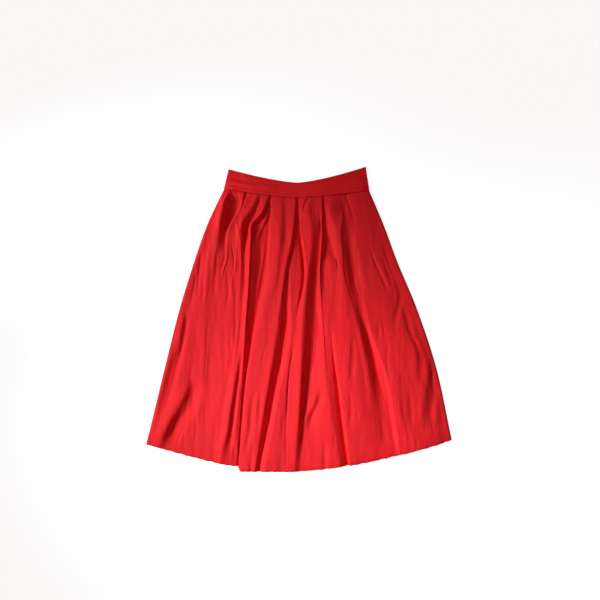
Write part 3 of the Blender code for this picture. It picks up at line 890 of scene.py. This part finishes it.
# %% [markdown]
# ## Hem stitches
#
# A hem's seam shows as a row of short stitches. A painted line would be cheaper, but it
# would not catch the light. So each stitch is a small bead of thread, pressed half into
# the cloth. The row follows the panel's own surface and dips into the pleats with it. A
# bead has few faces, because there are hundreds of them.

# %% Stitches along both hems
STITCH_UP = 20.0
STITCH_STEP = 4.2
STITCH_SIZE = (1.5, 0.3, 0.22)
STITCH_PROUD = STITCH_SIZE[2] / 3
STITCH_SEGMENTS = 6
STITCH_RINGS = 4


def stitch_line(x, y, z, inside):
    """The x, y and height of the line of stitches, at each column of a panel."""
    above = y - y[-1:]
    line_x = np.array([np.interp(-STITCH_UP, -above[:, c], x[:, c]) for c in range(x.shape[1])])
    line_z = np.array([np.interp(-STITCH_UP, -above[:, c], z[:, c]) for c in range(x.shape[1])])
    return line_x, y[-1] + STITCH_UP, line_z - inside * (CLOTH / 2 + STITCH_PROUD)


def stitch_row(name, x, y, z, inside):
    """Beads of thread in a row above a panel's hem."""
    line_x, line_y, line_z = stitch_line(x, y, z, inside)

    def place(at):
        """The point of the line at an x."""
        return Vector((at, float(np.interp(at, line_x, line_y)), float(np.interp(at, line_x, line_z))))

    places = np.arange(line_x[0] + STITCH_STEP, line_x[-1] - STITCH_STEP / 2, STITCH_STEP)
    size = Matrix.Diagonal((*(length * MM for length in STITCH_SIZE), 1))
    bm = bmesh.new()
    for at in places:
        turn = (place(at + 1) - place(at)).to_track_quat("X", "Z").to_matrix().to_4x4()
        bmesh.ops.create_uvsphere(bm, u_segments=STITCH_SEGMENTS, v_segments=STITCH_RINGS, radius=1.0,
                                  matrix=Matrix.Translation(place(at) * MM) @ turn @ size)
    for face in bm.faces:
        face.smooth = True
    print(name, len(places), "stitches")
    return finished(bm, bpy.data.meshes.new(name))


front_stitches = stitch_row("front_hem_stitches", front_x, front_y, front_z, -1)
back_stitches = stitch_row("back_hem_stitches", back_x, back_y, back_z, 1)

# %% [markdown]
# ## Red crinkled cotton
#
# The cloth is a matt plain weave with a soft crinkle, and its dye is a little uneven. A
# scan of real cloth would carry its own light and would repeat, so the material is built
# from noise instead. A few helpers keep that short: one adds a node, one makes a noise of
# a given size and stretch, one moves a value to another range, and one lays a bump over
# the last.

# %% Nodes for cloth
NOISE_ROUGHNESS = 0.55


def add_node(tree, kind, inputs=None, **settings):
    """A shader node with its settings and unlinked inputs filled in."""
    node = tree.nodes.new("ShaderNode" + kind)
    for name, value in settings.items():
        setattr(node, name, value)
    for name, value in (inputs or {}).items():
        node.inputs[name].default_value = value
    return node


def noise_height(tree, vector, scale, stretch, detail):
    """Noise on stretched coordinates, as a height from 0 to 1."""
    mapping = add_node(tree, "Mapping", {"Scale": stretch})
    field = add_node(tree, "TexNoise", {"Scale": scale, "Detail": detail, "Roughness": NOISE_ROUGHNESS})
    tree.links.new(vector, mapping.inputs["Vector"])
    tree.links.new(mapping.outputs["Vector"], field.inputs["Vector"])
    return field.outputs["Fac"]


def ranged(tree, value, range_from, range_to=(0.0, 1.0)):
    """A value moved from one range to another, and held within it."""
    level = add_node(tree, "MapRange", {"From Min": range_from[0], "From Max": range_from[1],
                                        "To Min": range_to[0], "To Max": range_to[1]})
    tree.links.new(value, level.inputs["Value"])
    return level.outputs["Result"]


def add_bump(tree, height, depth, under=None):
    """A bump layer of a depth in metres, over another one."""
    bump = add_node(tree, "Bump", {"Strength": 1.0, "Distance": depth})
    tree.links.new(height, bump.inputs["Height"])
    if under is not None:
        tree.links.new(under, bump.inputs["Normal"])
    return bump.outputs["Normal"]


print("noise roughness", NOISE_ROUGHNESS)

# %% [markdown]
# ## One dye, three pieces
#
# Four layers of bump are laid over each other: a broad crinkle, short creases that gather
# in patches, a fine grain for the weave, and faint ribs where a thicker thread runs. The
# first two are longer down the cloth than across it. The ribs read the sheet's own UV map,
# so they follow the cloth through its folds. The bands' red is a little lighter, a painted
# highlight for the brighter light they catch, and the sewing thread is a little darker.

# %% Cloth materials
PANEL_RED = (0.80, 0.0035, 0.0115, 1)
# The bands' red is the panels' red made lighter: a painted highlight for the brighter light on the
# bands.
BAND_LIT_RED = (0.87, 0.003, 0.009, 1)
THREAD_RED = (0.6, 0.002, 0.01, 1)
COTTON_ROUGHNESS = 0.85
COTTON_SPECULAR = 0.55
# Each pattern is its scale, its stretch along x, y and z, and its detail.
DYE_PATTERN = (14.0, (1.0, 0.35, 1.0), 3.0)
CRINKLE_PATTERN = (60.0, (1.0, 0.18, 1.0), 4.0)
PATCH_PATTERN = (11.0, (1.0, 0.5, 1.0), 2.0)
CREASE_PATTERN = (190.0, (1.0, 0.3, 1.0), 3.0)
GRAIN_PATTERN = (420.0, (1.0, 0.6, 1.0), 2.0)
RIB_SCALE = 75.0
CRINKLE_DEPTH = 0.0014
CREASE_DEPTH = 0.0011
GRAIN_DEPTH = 0.00025
RIB_DEPTH = 0.00003
DYE_FROM = (0.3, 0.7)
DYE_TO = (0.9, 1.06)
PATCHES_FROM = (0.4, 0.6)


def uneven_dye(tree, place, colour):
    """A colour that is a little darker in one place and a little lighter in another."""
    tint = add_node(tree, "Mix", data_type="RGBA", blend_type="MULTIPLY")
    tint.inputs["Factor"].default_value = 1.0
    tint.inputs["A"].default_value = colour
    level = ranged(tree, noise_height(tree, place, *DYE_PATTERN), DYE_FROM, DYE_TO)
    tree.links.new(level, tint.inputs["B"])
    return tint.outputs["Result"]


def patchy_creases(tree, place):
    """Short creases that show in patches only."""
    creases = add_node(tree, "Math", operation="MULTIPLY")
    tree.links.new(noise_height(tree, place, *CREASE_PATTERN), creases.inputs[0])
    patches = ranged(tree, noise_height(tree, place, *PATCH_PATTERN), PATCHES_FROM)
    tree.links.new(patches, creases.inputs[1])
    return creases.outputs["Value"]


def cloth_material(name, colour, woven):
    """Dyed cotton: uneven colour, creases, grain and, on a sheet with a UV map, ribs."""
    material = bpy.data.materials.new(name)
    material.use_nodes = True
    tree = material.node_tree
    shader = tree.nodes["Principled BSDF"]
    shader.inputs["Roughness"].default_value = COTTON_ROUGHNESS
    shader.inputs["Specular IOR Level"].default_value = COTTON_SPECULAR
    place = add_node(tree, "TexCoord").outputs["Object"]
    tree.links.new(uneven_dye(tree, place, colour), shader.inputs["Base Color"])
    normal = add_bump(tree, noise_height(tree, place, *CRINKLE_PATTERN), CRINKLE_DEPTH)
    normal = add_bump(tree, patchy_creases(tree, place), CREASE_DEPTH, normal)
    normal = add_bump(tree, noise_height(tree, place, *GRAIN_PATTERN), GRAIN_DEPTH, normal)
    if woven:
        cloth_uv = add_node(tree, "UVMap", uv_map="cloth").outputs["UV"]
        for direction in ("X", "Y"):
            ribs = add_node(tree, "TexWave", {"Scale": RIB_SCALE}, bands_direction=direction)
            tree.links.new(cloth_uv, ribs.inputs["Vector"])
            normal = add_bump(tree, ribs.outputs["Fac"], RIB_DEPTH, normal)
    tree.links.new(normal, shader.inputs["Normal"])
    return material


panel_cotton = cloth_material("panel_cotton", PANEL_RED, True)
# The bands' cotton is lighter by painted light, not by a dye of its own.
band_cotton_painted_light = cloth_material("band_cotton_painted_light", BAND_LIT_RED, True)
red_thread = cloth_material("red_thread", THREAD_RED, False)
print("nodes in the panels' cotton:", len(panel_cotton.node_tree.nodes))

# %% [markdown]
# ## Putting the pieces in place
#
# Each sheet takes the place of its solid and lies still with the one body there is. Its
# flat size is the cut that shows: for a panel the spread cloth from seam to hem, and for
# a band the strip before it is folded.

# %% Materials, bodies and hidden solids
PANEL_CUT = (0.80, 0.72)
PANEL_CUT_AREA = 0.53
BAND_CUT = (0.39, 0.09)
BAND_CUT_AREA = 0.034
SHEETS = (
    (front_cloth, "front_panel", "panel_cloth", PANEL_CUT, PANEL_CUT_AREA, ["back_panel"]),
    (back_cloth, "back_panel", "panel_cloth", PANEL_CUT, PANEL_CUT_AREA, []),
    (front_band, "waistband_front", "band_cloth", BAND_CUT, BAND_CUT_AREA, ["waistband_back"]),
    (back_band, "waistband_back", "band_cloth", BAND_CUT, BAND_CUT_AREA, []),
)
for piece, node, slot, flat, area, under in SHEETS:
    piece.data.materials.append(panel_cotton if slot == "panel_cloth" else band_cotton_painted_light)
    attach(piece, "root")
    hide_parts(node)
for piece in (front_stitches, back_stitches):
    piece.data.materials.append(red_thread)
    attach(piece, "root")
print(len(SHEETS), "sheets and 2 rows of stitches declared")

# %% [markdown]
# ## The floor
#
# A white sheet of paper under the skirt catches its shadow. A plain white floor would
# turn grey in soft light, and a glowing one would hide the shadow. So the floor glows for
# the camera only, and a part of its brightness still comes from the lamps. Its own colour
# is bluish, which takes the pink of the fill light out of it.

# %% Pale floor
FLOOR_HALF = 4
FLOOR_UNDER = 0.0005
FLOOR_COLOUR = (0.35, 0.6, 0.65, 1)
FLOOR_GLOW = 0.88
WHITE = (1, 1, 1, 1)


def floor_paper():
    """Paper that glows evenly for the camera, and takes shadows from the lamps."""
    material = bpy.data.materials.new("floor_white")
    material.use_nodes = True
    tree = material.node_tree
    shader = tree.nodes["Principled BSDF"]
    shader.inputs["Base Color"].default_value = FLOOR_COLOUR
    shader.inputs["Roughness"].default_value = 1.0
    shader.inputs["Emission Color"].default_value = WHITE
    glow = add_node(tree, "Math", operation="MULTIPLY")
    glow.inputs[1].default_value = FLOOR_GLOW
    tree.links.new(add_node(tree, "LightPath").outputs["Is Camera Ray"], glow.inputs[0])
    tree.links.new(glow.outputs["Value"], shader.inputs["Emission Strength"])
    return material


bm = bmesh.new()
bmesh.ops.create_grid(bm, x_segments=1, y_segments=1, size=FLOOR_HALF)
floor = finished(bm, bpy.data.meshes.new("floor"))
floor.location.z = -FLOOR_UNDER
floor.data.materials.append(floor_paper())
print("floor", 2 * FLOOR_HALF, "m wide")

# %% [markdown]
# ## Light and background
#
# One soft lamp stands low at the left, so that each fold has a bright left slope and a
# dark right one. A lamp from above would flatten them. A weaker one reaches the left end
# of the waist. The rest is a faint warm fill, red as light is that has bounced between
# folds of red cloth. The camera sees white behind the skirt instead of the fill.

# %% Lamps and backdrop
# Each lamp is its name, its place, what it points at, its size, power and beam.
LAMPS = (
    ("key", (-1.53, -0.08, 1.12), (0.26, -0.31, 0), 0.35, 2.6, 38),
    ("waist light", (-2.2, 0.05, 1.07), (-0.41, 0.27, 0), 0.4, 0.55, 15),
)
FILL_COLOUR = (1, 0.43, 0.38, 1)
FILL_STRENGTH = 0.24
BACKDROP_STRENGTH = 1.0


def aim(item, target):
    """Turn a lamp or a camera to look at a point."""
    item.rotation_euler = (Vector(target) - item.location).to_track_quat("-Z", "Y").to_euler()


def area_light(name, location, target, size, power, beam):
    """A round soft lamp that points at a target, with its beam in degrees."""
    lamp = bpy.data.lights.new(name, "AREA")
    lamp.shape = "DISK"
    lamp.size = size
    lamp.energy = power
    lamp.spread = math.radians(beam)
    item = bpy.data.objects.new(name, lamp)
    item.location = location
    bpy.context.scene.collection.objects.link(item)
    aim(item, target)


def soft_fill():
    """A world that lights the skirt with a faint warm fill and looks white to the camera."""
    world = bpy.data.worlds.new("soft fill")
    world.use_nodes = True
    tree = world.node_tree
    fill = tree.nodes["Background"]
    fill.inputs["Color"].default_value = FILL_COLOUR
    fill.inputs["Strength"].default_value = FILL_STRENGTH
    backdrop = add_node(tree, "Background", {"Color": WHITE, "Strength": BACKDROP_STRENGTH})
    seen = add_node(tree, "MixShader")
    tree.links.new(add_node(tree, "LightPath").outputs["Is Camera Ray"], seen.inputs["Fac"])
    tree.links.new(fill.outputs["Background"], seen.inputs[1])
    tree.links.new(backdrop.outputs["Background"], seen.inputs[2])
    tree.links.new(seen.outputs["Shader"], tree.nodes["World Output"].inputs["Surface"])
    return world


for lamp in LAMPS:
    area_light(*lamp)
bpy.context.scene.world = soft_fill()
print(len(LAMPS), "lamps")

# %% [markdown]
# ## The camera
#
# The skirt is seen from nearly straight above, a little from the hem's side. A shifted
# lens could frame it from right above, but the folds would then show no depth. So the
# camera stands a little towards the hem and is turned to look close to the middle.

# %% Camera
CAMERA_PLACE = (0.002, -0.1856, 1.2084)
CAMERA_TARGET = (0.002, 0.0275, 0)
# The lens and its sensor are in millimetres.
LENS = 28.8
SENSOR = 36

lens = bpy.data.cameras.new("camera")
lens.lens = LENS
lens.sensor_width = SENSOR
camera = bpy.data.objects.new("camera", lens)
camera.location = CAMERA_PLACE
bpy.context.scene.collection.objects.link(camera)
aim(camera, CAMERA_TARGET)
bpy.context.scene.camera = camera
bpy.context.scene.view_settings.view_transform = "Standard"
print("camera", round((Vector(CAMERA_PLACE) - Vector(CAMERA_TARGET)).length, 2), "m from the skirt")
